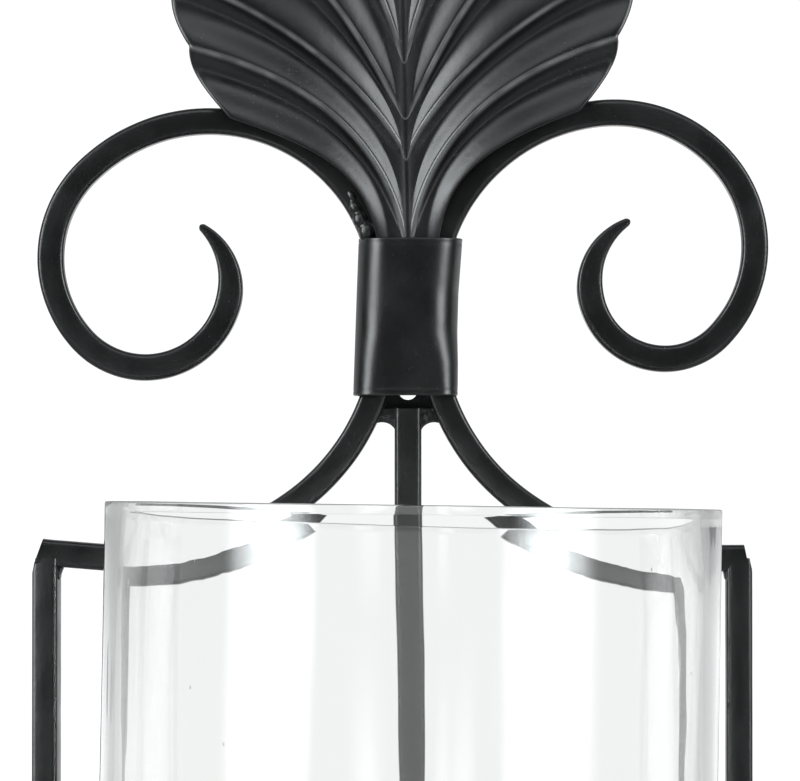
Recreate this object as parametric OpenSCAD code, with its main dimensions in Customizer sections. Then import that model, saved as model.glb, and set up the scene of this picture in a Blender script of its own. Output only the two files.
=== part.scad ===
// Wall sconce for a pillar candle: a frame of square bar with scrolls and a
// pressed leaf, and a glass chimney that stands on a pan in front of it.
// +X is to the right, +Z is up and the wall is the plane y = 0. The object is
// on the -Y side of the wall, and the origin is the middle of the nail hole.

/* [Bar and sheet] */
// Side of the square bar
bar = 6; // [5:0.5:8]
// Thickness of the sheet in the leaf, the collars and the hanger plate
sheet = 1; // [0.8:0.1:1.5]

/* [Glass] */
// Outside diameter of the glass chimney
glass_od = 127; // [105:1:160]
// Height of the glass chimney
glass_h = 152; // [120:1:190]
// Thickness of the glass
glass_wall = 3.2; // [2:0.2:5]

/* [Frame] */
// Gap between the glass and each side post, seen from the front
post_gap = 9.6; // [8:0.2:14]
// How far both side posts stand to the left of the middle, as it was bent
post_shift = 3.4; // [0:0.2:6]
// Height of the glass rim over the middle of the shoulder bars
rim_rise = 12.6; // [0:0.2:20]
// Drop from the pan's floor to the middle of the lower shoulder bars
under_room = 15.6; // [14:0.2:30]
// Gap between the two bars where they are closest, inside a collar
waist_gap = 3.2; // [1:0.2:6]
// How far the slanted end of a shoulder bar leans in over the bar's height
end_slant = 1.2; // [0:0.1:2]
// How far the lower edge of that end stands in from the post's outer face
end_inset = 0.7; // [0.2:0.1:1.5]
// Degrees that the left shoulder bar rises towards its end, as it was bent
left_rise = 4.6; // [0:0.2:8]
// Degrees that the left side post is twisted on its own axis
post_twist = 8; // [0:1:12]

/* [Collars] */
// Height of the upper collar
collar_h = 34.6; // [28:0.2:42]
// Height of the lower collar
lower_collar_h = 24; // [18:0.5:32]
// Clearance between a collar and the bars at its ends
collar_fit = 0.15; // [0.1:0.05:0.4]
// Room in the upper collar for the leaf's root, in front of the bars
leaf_room = 3.2; // [1.6:0.1:3.5]

/* [Leaf] */
// Width of the leaf
leaf_w = 99; // [80:1:120]
// Height of the leaf above the upper collar
leaf_h = 110; // [90:1:132]
// Depth of a flute at the leaf's edge
flute_depth = 2.6; // [1:0.2:4]
// Height of the crease along the leaf's middle, over its root
crease = 0.8; // [0:0.1:1.5]
// How far the tip of the leaf leans out from the wall
leaf_bow = 14; // [4:1:20]
// Degrees that the leaf leans to the left
leaf_turn = 1.3; // [0:0.1:3]
// How far each lobe of the leaf's edge bulges out between two ridges
scallop = 2.5; // [0:0.1:4]

/* [Pan and its arm] */
// Thickness of the pan
pan_sheet = 1.2; // [1:0.1:2]
// Height of the pan's flared rim
pan_rim = 6; // [4:0.5:10]
// Clearance all round between the glass and the foot of the pan's rim
glass_fit = 2.5; // [1.5:0.1:5]
// Gap between the frame and the back of the pan
pan_gap = 4; // [3:0.5:12]
// Height of the arm's leg on the centre bar, below its bend
arm_leg = 24; // [20:1:30]
// Diameter of the round pad at the end of the arm
pad_d = 18; // [14:1:24]
// Thickness of the pad
pad_t = 3; // [2:0.5:5]

/* [Candle spike and its nut] */
// Diameter of the spike and of its shank
spike_d = 4; // [3:0.5:6]
// Height of the spike above its flange
spike_h = 26; // [18:1:32]
// Diameter of the flange
flange_d = 12; // [9:1:18]
// Clearance round the shank, in each hole that it passes through
shank_fit = 0.2; // [0.1:0.05:0.4]

/* [Nail hole] */
// Diameter of the nail hole
nail_d = 4.2; // [3:0.2:6]
// Height of the nail hole's middle over the upper collar's lower edge
nail_rise = 1.3; // [0:0.1:4]

/* [Hidden] */
$fn = 96;
eps = 0.01;
far = 400;

// Radii of the bends along a bar's middle line
waist_r = 53;
shoulder_r = [48, 65];
// Heading off the vertical where the shoulder's second bend takes over
shoulder_heading = 54;
// Bends of each scroll beyond its collar, as radius and turn. Over the last
// one the bar is drawn down to its tip. The two upper scrolls were bent by
// hand, and differ a little.
left_scroll = [[38, 60.7], [38.5, 54.4], [26.6, 87.4], [18.8, 122.3], [16.1, 66]];
right_scroll = [[41, 65], [31.5, 58], [28.2, 81.5], [16.5, 124.4], [15.6, 71.7]];
lower_scroll = [[24, 75], [16, 85], [10, 80], [10, 70]];
tip_w = 2;
// Degrees of bend between one point of a bar's outline and the next
bar_step = 3;

// Places of the frame, from the front of the sheet out
bar_back = sheet;
bar_front = bar_back + bar;
waist_x = waist_gap / 2 + bar / 2;

// A heading is [x, height, degrees off the vertical]; a bend carries it on.
function carried(p, bend) = [
    p[0] + bend[0] * (cos(p[2]) - cos(p[2] + bend[1])),
    p[1] + bend[0] * (sin(p[2] + bend[1]) - sin(p[2])),
    p[2] + bend[1]
];
function walked(bends, p, i = 0) =
    i == len(bends) ? p : walked(bends, carried(p, bends[i]), i + 1);

// The first bend runs from the waist to just past the end of the collar
function waist_turn(height) = asin(height / 2 / waist_r) + 1;
function shoulder_bends(height) = [
    [waist_r, waist_turn(height)],
    [shoulder_r[0], shoulder_heading - waist_turn(height)],
    [shoulder_r[1], 90 - shoulder_heading]
];
function shoulder_end(height) = walked(shoulder_bends(height), [waist_x, 0, 0]);
// The left upper bar rises beyond its shoulder, over a last short bend
rise_r = 40;
function shoulder_path(height, rise) =
    concat(shoulder_bends(height), rise > 0 ? [[rise_r, rise]] : []);
// Half width inside a collar: the bar's outer face at the collar's ends
function collar_inside(height) = waist_x + waist_r + collar_fit
    - sqrt(pow(waist_r - bar / 2, 2) - pow(height / 2, 2));

post_x = glass_od / 2 + post_gap + bar / 2;
function post_at(side) = post_x - side * post_shift;
collar_z = -nail_rise;
waist_z = collar_z + collar_h / 2;
shoulder_z = waist_z - shoulder_end(collar_h)[1];
rim_z = shoulder_z + rim_rise;
pan_z = rim_z - glass_h;
lower_shoulder_z = pan_z - under_room;
lower_waist_z = lower_shoulder_z - shoulder_end(lower_collar_h)[1];

// The centre bar's ends stand this far outside the collars
centre_bar_gap = 2.8;
centre_top = collar_z - centre_bar_gap;
centre_bottom = lower_waist_z + lower_collar_h / 2 + centre_bar_gap;

plate_w = 12;
plate_up = 9;
plate_down = 6.4;
lip_gap = plate_w / 2 + 0.3;
lower_room = 0.6;

pan_floor_r = glass_od / 2 + glass_fit;
pan_r = pan_floor_r + pan_rim;
pan_y = bar_front + pan_gap + pan_r + pan_sheet;
arm_z = pan_z - pan_sheet;
arm_bend_r = 2 * bar;
arm_end = pan_y - pad_d / 2 + 1;

flange_t = 1.5;
spike_straight = 10;
shank_r = spike_d / 2;
hole_r = shank_r + shank_fit;
washer_t = 0.8;
nut_t = 0.8 * spike_d;
nut_across = 1.75 * spike_d;
shank_tail = 2;

// ---- shapes used by several pieces ----

// A flat shape, drawn with x to the right and y up, made `depth` thick
// towards -Y from the plane y = -back
module facing(back, depth) {
    translate([0, -back, 0]) rotate([90, 0, 0]) linear_extrude(depth) children();
}

// The side of a path that is `half` to the right of it
function beside(p, half) = [p[0] + half * cos(p[2]), p[1] - half * sin(p[2])];
function mirrored(points) = [for (q = points) [q[0], -q[1]]];
function reversed(points) = [for (k = [len(points) - 1 : -1 : 0]) points[k]];
// Headings along a chain of bends, a few degrees apart, each bend's own last
function path(bends, p, i = 0) =
    i == len(bends) ? [] :
    let (n = ceil(bends[i][1] / bar_step))
    concat(
        [for (k = [1 : n]) carried(p, [bends[i][0], bends[i][1] * k / n])],
        path(bends, carried(p, bends[i]), i + 1)
    );
// Half the bar's width at share t of the last bend, which is drawn down
function drawn_down(t) = bar / 2 + (tip_w / 2 - bar / 2) * pow(t, 1.6);

// A bar's outline from its scroll's tip, through the waist at the origin, to
// the slanted end of its shoulder; it is the right-hand one, with x to the right
module bar_flat(scroll, height, post, rise = 0) {
    start = [waist_x, 0, 0];
    last_bend = scroll[len(scroll) - 1];
    bends = [[waist_r, waist_turn(height)], for (k = [0 : len(scroll) - 2]) scroll[k]];
    full = path(bends, start);
    drawn = path([last_bend], walked(bends, start));
    last = drawn[len(drawn) - 1];
    shoulder = path(shoulder_path(height, rise), start);
    end = walked(shoulder_path(height, rise), start);
    low_x = post + bar / 2 - end_inset;
    high_x = low_x - end_slant;
    half_cut = bar / 2 / cos(rise);
    function end_height(x) = (x - end[0]) * tan(rise) - end[1];
    function half(k) = drawn_down((k + 1) / len(drawn));
    polygon(concat(
        [for (p = full) beside(p, -bar / 2)],
        [for (k = [0 : len(drawn) - 1]) beside(drawn[k], -half(k))],
        [for (a = [30 : 30 : 150]) beside([last[0], last[1], last[2] + a], -tip_w / 2)],
        [for (k = [len(drawn) - 1 : -1 : 0]) beside(drawn[k], half(k))],
        reversed([for (p = full) beside(p, bar / 2)]),
        mirrored([for (p = shoulder) beside(p, bar / 2)]),
        [[high_x, end_height(high_x) + half_cut], [low_x, end_height(low_x) - half_cut]],
        reversed(mirrored([for (p = shoulder) beside(p, -bar / 2)]))
    ));
}

// Each side's flat shapes are drawn on the right, and the left ones mirrored
module upper_bar_flat(side) {
    translate([0, waist_z])
        bar_flat(side < 0 ? left_scroll : right_scroll, collar_h, post_at(side),
            side < 0 ? left_rise : 0);
}

module lower_bar_flat(side) {
    translate([0, lower_waist_z]) mirror([0, 1])
        bar_flat(lower_scroll, lower_collar_h, post_at(side));
}

module centre_bar_flat() {
    translate([-bar / 2, centre_bottom]) square([bar, centre_top - centre_bottom]);
}

// A band bent round the bars and open at the back, `room` deep in front of them
module collar(height, room) {
    inside = collar_inside(height);
    outside = inside + sheet;
    front = bar_front + room;
    inner_r = 0.95 * (collar_fit + room + sqrt(2 * collar_fit * room));
    translate([0, 0, -height / 2]) linear_extrude(height) difference() {
        fronted(outside, front + sheet, inner_r + sheet);
        intersection() {
            fronted(inside, front, inner_r);
            translate([-far / 2, -far]) square([far, far - sheet]);
        }
        translate([-lip_gap, -sheet - eps]) square([2 * lip_gap, far]);
    }
}

// A rectangle from y = 0 to y = -depth, with its two front corners rounded
module fronted(half, depth, r) {
    translate([-half, -depth + r]) square([2 * half, depth - r]);
    translate([-half + r, -depth]) square([2 * (half - r), depth]);
    for (side = [-1, 1]) translate([side * (half - r), -depth + r]) circle(r);
}

module on_side(side) {
    mirror([side < 0 ? 1 : 0, 0, 0]) children();
}

// ---- the frame ----

module scroll_bar(side) {
    color("#26272a") on_side(side) facing(bar_back, bar) upper_bar_flat(side);
}

module lower_bar(side) {
    color("#26272a") on_side(side) facing(bar_back, bar) lower_bar_flat(side);
}

// A post's outer corners are hammered back to meet the ends of the bars
module post_flat(side) {
    length = shoulder_z - lower_shoulder_z;
    cut = 0.45 * bar;
    polygon([[-bar / 2, 0], [bar / 2 - end_inset, 0], [bar / 2 - end_inset, bar / 2],
        [bar / 2, bar / 2 + cut], [bar / 2, length - bar / 2 - cut],
        [bar / 2 - end_inset, length - bar / 2], [bar / 2 - end_inset, length],
        [-bar / 2, length]]);
}

module side_post(side) {
    color("#2b2c2f") difference() {
        on_side(side) translate([post_at(side), -bar_back - bar / 2, lower_shoulder_z])
            rotate([0, 0, side < 0 ? post_twist : 0]) translate([0, bar / 2, 0])
                facing(0, bar) post_flat(side);
        on_side(side) facing(0, far) upper_bar_flat(side);
        on_side(side) facing(0, far) lower_bar_flat(side);
    }
}

module centre_bar() {
    color("#2b2c2f") facing(bar_back, bar) centre_bar_flat();
}

module upper_collar() {
    color("#303134") translate([0, 0, waist_z]) collar(collar_h, leaf_room);
}

module lower_collar() {
    color("#303134") translate([0, 0, lower_waist_z])
        collar(lower_collar_h, lower_room);
}

// The plate that hangs on the nail, between the lips of the upper collar
module hanger_plate() {
    color("#37383b") facing(0, sheet) difference() {
        translate([-plate_w / 2, -plate_down]) square([plate_w, plate_up + plate_down]);
        circle(nail_d / 2);
    }
}

// ---- the leaf ----

// Each half of the leaf is seven lines, from its lower edge to its middle, and
// the flutes lie between them. A line is a Bezier curve whose points are given
// as shares of the leaf's half width and of its height, from the collar's top.
leaf_lines = [
    [[0.127, -0.073], [0.133, 0.110], [0.300, 0.170], [0.780, 0.245]],
    [[0, -0.073], [0.010, 0.136], [0.283, 0.309], [0.949, 0.388]],
    [[0, 0.155], [0.040, 0.218], [0.343, 0.418], [1.0, 0.527]],
    [[0, 0.234], [0.121, 0.336], [0.343, 0.582], [0.889, 0.682]],
    [[0, 0.345], [0.061, 0.455], [0.242, 0.709], [0.667, 0.827]],
    [[0, 0.473], [0.030, 0.600], [0.141, 0.818], [0.364, 0.936]],
    [[0, 0.582], [0, 0.709], [0, 0.873], [0, 1.0]]
];
flutes = len(leaf_lines) - 1;
// Distance from the middle over which the crease dies away
crease_reach = 2.5;
across = 6;
along = 12;
rows = flutes * across;

function bezier(p, t) = pow(1 - t, 3) * p[0] + 3 * pow(1 - t, 2) * t * p[1]
    + 3 * (1 - t) * t * t * p[2] + pow(t, 3) * p[3];
// How far w is between two lines: 0 on either of them, 1 half way
function midway(w) = 4 * (w - floor(w)) * (1 - w + floor(w));
// Depth of the flute at w as a share: deepest near its upper line, 0 on both
flute_skew = 1.7;
function hollow(w) = let (f = pow(w - floor(w), flute_skew)) 4 * f * (1 - f);
// Points of the line at w, in mm, with the lobe's bulge at its far end
function line_at(w) =
    let (k = min(floor(w), flutes - 1), f = w - k)
    let (p = [for (n = [0 : 3]) let (q = leaf_lines[k][n] * (1 - f)
        + leaf_lines[k + 1][n] * f) [q[0] * leaf_w / 2, q[1] * leaf_h]])
    let (out = (p[3] - p[2]) / norm(p[3] - p[2]))
    [p[0], p[1], p[2], p[3] + scallop * midway(w) * out];
// A point of the leaf's back, side 1 to the right and -1 to the left
function leaf_point(side, i, j) =
    let (w = i / across, t = j / along, q = bezier(line_at(w), t))
    let (ridge = flute_depth * (1 - pow(1 - t, 2)) * (1 - hollow(w)))
    let (fold = crease * exp(-q[0] / crease_reach))
    let (lean = leaf_bow * pow(max(q[1], 0) / leaf_h, 2))
    [side * q[0], -bar_front - max(ridge, fold) - lean, q[1]];

// The halves share their middle line: its points belong to the right half
function leaf_id(half, i, j) =
    let (shared = i == rows || (j == 0 && i >= across))
    (shared ? 0 : half) * (rows + 1) * (along + 1) + i * (along + 1) + j;
leaf_count = 2 * (rows + 1) * (along + 1);

module leaf() {
    back = [for (side = [1, -1], i = [0 : rows], j = [0 : along])
        leaf_point(side, i, j)];
    front = [for (p = back) p - [0, sheet, 0]];
    // Once round the edge, from the middle of the root to the right
    edge = concat(
        [for (i = [across : -1 : 0]) leaf_id(0, i, 0)],
        [for (j = [1 : along]) leaf_id(0, 0, j)],
        [for (i = [1 : rows]) leaf_id(0, i, along)],
        [for (i = [rows - 1 : -1 : 0]) leaf_id(1, i, along)],
        [for (j = [along - 1 : -1 : 0]) leaf_id(1, 0, j)],
        [for (i = [1 : across - 1]) leaf_id(1, i, 0)]
    );
    n = len(edge);
    front_faces = [for (half = [0, 1], i = [0 : rows - 1], j = [0 : along - 1])
        let (a = leaf_id(half, i, j), b = leaf_id(half, i + 1, j),
            c = leaf_id(half, i + 1, j + 1), d = leaf_id(half, i, j + 1))
        each half == 0 ? [[a, b, d], [b, c, d]] : [[a, d, b], [b, d, c]]];
    back_faces = [for (f = front_faces) [f[0], f[2], f[1]] + leaf_count * [1, 1, 1]];
    edge_faces = [for (k = [0 : n - 1])
        let (p = edge[k], q = edge[(k + 1) % n])
        each [[p, q, q + leaf_count], [p, q + leaf_count, p + leaf_count]]];
    color("#1f2023") translate([0, 0, collar_z + collar_h])
        rotate([0, -leaf_turn, 0]) polyhedron(concat(front, back),
            concat(front_faces, back_faces, edge_faces));
}

// ---- the pan, its arm and the spike ----

module at_pan() {
    translate([0, -pan_y, 0]) children();
}

// A square bar with its leg against the centre bar, bent out under the pan
module pan_arm() {
    top = arm_z;
    corner_y = bar_front + bar / 2 + arm_bend_r;
    corner_z = top - bar / 2 - arm_bend_r;
    color("#2b2c2f") difference() {
        union() {
            translate([-bar / 2, -bar_front - bar, corner_z - arm_leg])
                cube([bar, bar, arm_leg]);
            translate([-bar / 2, -corner_y, corner_z]) rotate([90, 0, 90])
                rotate_extrude(angle = 90) translate([arm_bend_r - bar / 2, 0])
                    square(bar);
            translate([-bar / 2, -arm_end, top - bar])
                cube([bar, arm_end - corner_y, bar]);
            at_pan() translate([0, 0, top - pad_t]) cylinder(d = pad_d, h = pad_t);
        }
        at_pan() translate([0, 0, top - far / 2]) cylinder(r = hole_r, h = far);
    }
}

// A dish with a flat floor and a rim that flares out at 45 degrees
module drip_pan() {
    low = -pan_sheet;
    slant = pan_sheet * tan(22.5);
    color("#232427") at_pan() translate([0, 0, pan_z]) rotate_extrude() polygon([
        [hole_r, low], [pan_floor_r + slant, low],
        [pan_r + slant, pan_rim + low + eps], [pan_r + slant, pan_rim],
        [pan_r, pan_rim], [pan_floor_r, 0], [hole_r, 0]
    ]);
}

module candle_spike() {
    tail = pan_sheet + pad_t + washer_t + nut_t + shank_tail;
    color("#3a3b3e") at_pan() translate([0, 0, pan_z]) {
        translate([0, 0, -tail]) cylinder(r = shank_r, h = tail);
        cylinder(d = flange_d, h = flange_t);
        translate([0, 0, flange_t]) cylinder(r = shank_r, h = spike_straight);
        translate([0, 0, flange_t + spike_straight])
            cylinder(r1 = shank_r, r2 = 0.3, h = spike_h - spike_straight);
    }
}

module spike_washer() {
    color("#9a9c9f") at_pan() translate([0, 0, arm_z - pad_t - washer_t])
        difference() {
            cylinder(r = 2.25 * shank_r, h = washer_t);
            translate([0, 0, -eps]) cylinder(r = hole_r, h = washer_t + 2 * eps);
        }
}

module spike_nut() {
    color("#9a9c9f") at_pan() translate([0, 0, arm_z - pad_t - washer_t - nut_t])
        difference() {
            cylinder(d = nut_across / cos(30), h = nut_t, $fn = 6);
            translate([0, 0, -eps]) cylinder(r = shank_r + 0.05, h = nut_t + 2 * eps);
        }
}

module glass_chimney() {
    color("#dfe8e8", 0.4) at_pan() translate([0, 0, pan_z]) rotate_extrude()
        translate([glass_od / 2 - glass_wall, 0]) square([glass_wall, glass_h]);
}

// ---- the welds ----

// A web between the centre bar's end and the bar beside it, drawn on the
// right with the end at y = 0 and the bar going down. The child is that bar.
module web_flat() {
    drop = 0.75 * bar;
    hollow = 0.3 * bar;
    difference() {
        translate([bar / 2, -drop]) square([1.1 * bar, drop]);
        translate([0.82 * bar, -drop - 0.25 * hollow]) circle(hollow);
        children();
        // What lies beyond the bar's inner face
        translate([0.9 * bar, 0]) children();
    }
}

module webs(end, flip) {
    for (side = [-1, 1]) color("#2e2f32") on_side(side)
        facing(bar_back + bar / 6, bar * 2 / 3)
            translate([0, end]) mirror([0, flip]) web_flat()
                mirror([0, flip]) translate([0, -end])
                    if (flip == 0) upper_bar_flat(side); else lower_bar_flat(side);
}

module upper_welds() {
    webs(centre_top, 0);
}

module lower_welds() {
    webs(centre_bottom, 1);
}

// A hollow fillet inside each corner of the frame, taller than it is wide
module corner_welds() {
    wide = 0.32 * bar;
    tall = 0.7 * bar;
    buried = 0.15 * bar;
    for (side = [-1, 1], end = [0, 1]) {
        corner_x = post_at(side) - bar / 2;
        corner_z = end == 0 ? shoulder_z - bar / 2 : lower_shoulder_z + bar / 2;
        color("#2e2f32") difference() {
            on_side(side) facing(bar_back + bar / 8, bar * 3 / 4)
                translate([corner_x, corner_z]) mirror([0, end]) difference() {
                    translate([-wide, -tall]) square([wide + buried, tall + buried]);
                    translate([-wide, -tall]) scale([wide, tall]) circle(1);
                }
            side_post(side);
            if (end == 0) scroll_bar(side); else lower_bar(side);
        }
    }
}

// The dome of weld on the left bar that the leaf's edge is tacked to
module leaf_tack() {
    r = 0.3 * bar;
    tack_rise = 0.9 * bar;
    color("#2e2f32") translate([-waist_x - 0.9 * bar, -bar_front,
        collar_z + collar_h + tack_rise]) intersection() {
            sphere(r);
            translate([-r, -r, -r]) cube([2 * r, r, 2 * r]);
        }
}

// A bead down each side of the seam between the arm's leg and the centre bar
module arm_welds() {
    r = 0.14 * bar;
    z = arm_z - bar / 2 - arm_bend_r - arm_leg;
    for (side = [-1, 1]) color("#2e2f32")
        translate([side * bar / 2, -bar_front, z + 2]) intersection() {
            cylinder(r = r, h = arm_leg - 4);
            translate([side < 0 ? -2 * r : 0, -r, 0]) cube([2 * r, 2 * r, arm_leg]);
        }
}

scroll_bar(-1);  // scroll_bar_left
scroll_bar(1);  // scroll_bar_right
side_post(-1);  // side_post_left
side_post(1);  // side_post_right
centre_bar();
lower_bar(-1);  // lower_bar_left
lower_bar(1);  // lower_bar_right
upper_collar();
lower_collar();
leaf();
hanger_plate();
pan_arm();
drip_pan();
candle_spike();
spike_washer();
spike_nut();
glass_chimney();
upper_welds();
lower_welds();
corner_welds();
leaf_tack();
arm_welds();
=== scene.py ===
# %% [markdown]
# # A wrought-iron wall sconce, finished in Blender
# The sconce is a frame of black square bar with scrolls, a pressed leaf, folded
# collars, and a glass chimney that stands on a pan in front of it. The packed
# model gives every piece its place and size. What is added here is what a smith
# and a glassmaker leave behind: rounded edges, drawn-down tips, weld beads, a
# satin paint that pools and rubs, and glass that is never quite flat.

# %% Load the frame
import math

import bmesh
import bpy
import numpy as np
from mathutils import Matrix, Vector, noise


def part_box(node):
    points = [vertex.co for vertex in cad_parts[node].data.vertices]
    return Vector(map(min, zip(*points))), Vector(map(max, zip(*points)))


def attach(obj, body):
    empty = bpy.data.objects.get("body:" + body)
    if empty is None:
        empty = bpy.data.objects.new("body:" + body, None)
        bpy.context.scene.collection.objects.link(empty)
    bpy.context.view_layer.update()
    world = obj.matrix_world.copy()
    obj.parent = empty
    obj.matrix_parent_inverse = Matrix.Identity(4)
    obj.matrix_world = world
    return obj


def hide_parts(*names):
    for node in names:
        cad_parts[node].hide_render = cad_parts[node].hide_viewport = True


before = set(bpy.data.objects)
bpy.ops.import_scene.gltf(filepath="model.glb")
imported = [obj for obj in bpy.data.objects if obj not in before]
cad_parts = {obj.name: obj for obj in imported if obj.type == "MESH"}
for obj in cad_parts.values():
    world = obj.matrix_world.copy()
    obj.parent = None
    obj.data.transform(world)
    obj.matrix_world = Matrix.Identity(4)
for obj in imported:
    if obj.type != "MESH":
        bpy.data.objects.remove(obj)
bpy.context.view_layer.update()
MM = 0.001

# %% [markdown]
# ## Nodes without the clutter
# A shader or a Geometry Nodes tree is a small program. Writing `a * b + 1` is
# easier to read than three Math nodes and their links, so a class wraps a
# socket and makes those nodes when Python's own operators are used on it. Every
# other node comes from `Tree.node`, which takes its type, its settings and then
# the values or links of its sockets. What the finishes share is made by a few short
# helpers on top of it.

# %% A socket that does arithmetic, and a tree that makes nodes
class Value:
    def __init__(self, tree, socket):
        self.tree = tree
        self.socket = socket

    def math(self, operation, *others):
        sockets = {n: v for n, v in enumerate((self,) + others)}
        return self.tree.node("ShaderNodeMath", {"operation": operation}, sockets)

    def __add__(self, other):
        return self.math("ADD", other)

    def __sub__(self, other):
        return self.math("SUBTRACT", other)

    def __mul__(self, other):
        return self.math("MULTIPLY", other)

    def __rsub__(self, other):
        return (self * -1) + other

    __radd__ = __add__
    __rmul__ = __mul__


class Tree:
    def __init__(self, tree):
        self.tree = tree

    def node(self, kind, settings=None, sockets=None, out=0):
        made = self.tree.nodes.new(kind)
        for name, setting in (settings or {}).items():
            setattr(made, name, setting)
        for name, value in (sockets or {}).items():
            if isinstance(value, Value):
                self.tree.links.new(value.socket, made.inputs[name])
            else:
                made.inputs[name].default_value = value
        return Value(self, made.outputs[out])

    def between(self, value, low, high, to_low=0.0, to_high=1.0):
        """The value's smooth way from `low` to `high`, as one from `to_low` to `to_high`."""
        return self.node("ShaderNodeMapRange", {"interpolation_type": "SMOOTHSTEP"}, {
            "Value": value, "From Min": low, "From Max": high, "To Min": to_low, "To Max": to_high})

    def parts(self, vector):
        split = self.tree.nodes.new("ShaderNodeSeparateXYZ")
        self.tree.links.new(vector.socket, split.inputs[0])
        return [Value(self, s) for s in split.outputs]

    def bump(self, height):
        return self.node("ShaderNodeBump", sockets={"Strength": 1.0, "Distance": 0.001, "Height": height})


def new_material(name):
    """An empty finish: the material, its tree, its shader, and the place on the object."""
    material = bpy.data.materials.new(name)
    material.use_nodes = True
    tree = Tree(material.node_tree)
    place = tree.node("ShaderNodeTexCoord", out=3)
    return material, tree, material.node_tree.nodes["Principled BSDF"], place


print("node helpers ready")

# %% [markdown]
# ## Black paint on iron
# The frame is dipped or sprayed in a satin black that is thin enough to show the metal under it. Close up
# it has three scales: a slow change of gloss where the paint lies thick or thin, the orange peel of
# sprayed paint, and pale dust and pinholes. Where hands and cloths touch it, on the bars' edges, it is
# rubbed a little smoother and greyer. The same mask paints a pale grey line along the leaf's ridges, a
# painted highlight for the glint of light there. It also paints a faint line on the collars' rims, partly
# wear and partly painted highlight. A picture of paint would need a map; a recipe of noises in object
# coordinates needs none and has no seams.

# %% The painted finishes
def painted(name, tone, gloss, peel, bare_and_glint_colour):
    material, tree, shader, place = new_material(name)

    def grain(scale, detail=2.0, rough=0.5):
        return tree.node("ShaderNodeTexNoise", sockets={
            "Vector": place, "Scale": scale, "Detail": detail, "Roughness": rough})

    pooled = tree.between(grain(90.0, 3.0), 0.35, 0.65)
    specks = tree.between(grain(2600.0, 1.0), 0.715, 0.76)
    dust = tree.between(grain(60.0, 2.0), 0.45, 0.62)
    rubbed_and_glint = tree.node("ShaderNodeAttribute", {"attribute_name": "rubbed_and_glint"}, out=2)
    # Where the rubbed mask is set, the paint turns to the given rubbed colour: wear on the bars' edges,
    # painted highlight on the leaf's ridges, and partly painted highlight on the collars' rims.
    worn_and_glint = rubbed_and_glint * tree.between(grain(160.0, 2.0), 0.35, 0.65, 0.5, 1.0)

    thick = tree.node("ShaderNodeMix", {"data_type": "RGBA"}, {
        "Factor": pooled, 6: [*tone, 1.0], 7: [1.6 * part for part in tone] + [1.0]}, out=2)
    dusty = tree.node("ShaderNodeMix", {"data_type": "RGBA"}, {
        "Factor": specks * dust * 0.4, 6: thick, 7: [0.20, 0.20, 0.21, 1.0]}, out=2)
    shown = tree.node("ShaderNodeMix", {"data_type": "RGBA"}, {
        "Factor": worn_and_glint * 0.4, 6: dusty, 7: [*bare_and_glint_colour, 1.0]}, out=2)
    rough = gloss + pooled * 0.07 - worn_and_glint * 0.05 + specks * 0.2
    uneven = grain(26.0, 1.0) * 0.7 + grain(75.0, 2.0) * 0.13
    peeled = uneven + grain(900.0, 2.0) * peel + grain(210.0, 2.0) * (peel * 2.2) - specks * (peel * 0.8)

    links = material.node_tree.links
    links.new(shown.socket, shader.inputs["Base Color"])
    links.new(rough.socket, shader.inputs["Roughness"])
    links.new(tree.bump(peeled).socket, shader.inputs["Normal"])
    shader.inputs["Specular IOR Level"].default_value = 0.5
    shader.inputs["Coat Weight"].default_value = 0.2
    shader.inputs["Coat Roughness"].default_value = 0.25
    return material


iron_paint = painted("iron_paint", (0.0016, 0.0016, 0.0016), 0.29, 0.04, (0.012, 0.012, 0.013))
# The sheet's rubbed colour is a pale grey. On the leaf's ridges it is a painted highlight, the glint of
# light painted into the paint.
sheet_paint = painted("sheet_paint", (0.0014, 0.0015, 0.0016), 0.30, 0.025, (0.30, 0.31, 0.31))
print("painted finishes:", iron_paint.name, sheet_paint.name)

# %% [markdown]
# ## Zinc on the hidden fasteners
# The nut and washer under the pan are plain zinc-plated steel. Zinc plate is
# bright but cloudy, so its roughness wanders in soft patches.

# %% Zinc plate
def zinc():
    material, tree, shader, place = new_material("zinc_plate")
    cloud = tree.node("ShaderNodeTexNoise", sockets={"Vector": place, "Scale": 500.0, "Detail": 3.0})
    fine = tree.node("ShaderNodeTexNoise", sockets={"Vector": place, "Scale": 2400.0, "Detail": 2.0})
    tint = tree.node("ShaderNodeMix", {"data_type": "RGBA"}, {
        "Factor": cloud, 6: [0.46, 0.47, 0.49, 1.0], 7: [0.66, 0.66, 0.64, 1.0]}, out=2)
    links = material.node_tree.links
    links.new(tint.socket, shader.inputs["Base Color"])
    links.new((cloud * 0.25 + 0.2).socket, shader.inputs["Roughness"])
    links.new(tree.bump(fine * 0.012).socket, shader.inputs["Normal"])
    shader.inputs["Metallic"].default_value = 1.0
    return material


zinc_plate = zinc()
print("zinc finish ready")

# %% [markdown]
# ## Clear glass
# The chimney is thick drawn glass. Its body is clear and very slightly grey,
# and its skin carries the faint ripple of the draw, which makes everything
# behind it shiver. The ripple is a bump here, finer than the mesh can carry,
# on top of the slow waves that the mesh does have.

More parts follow.
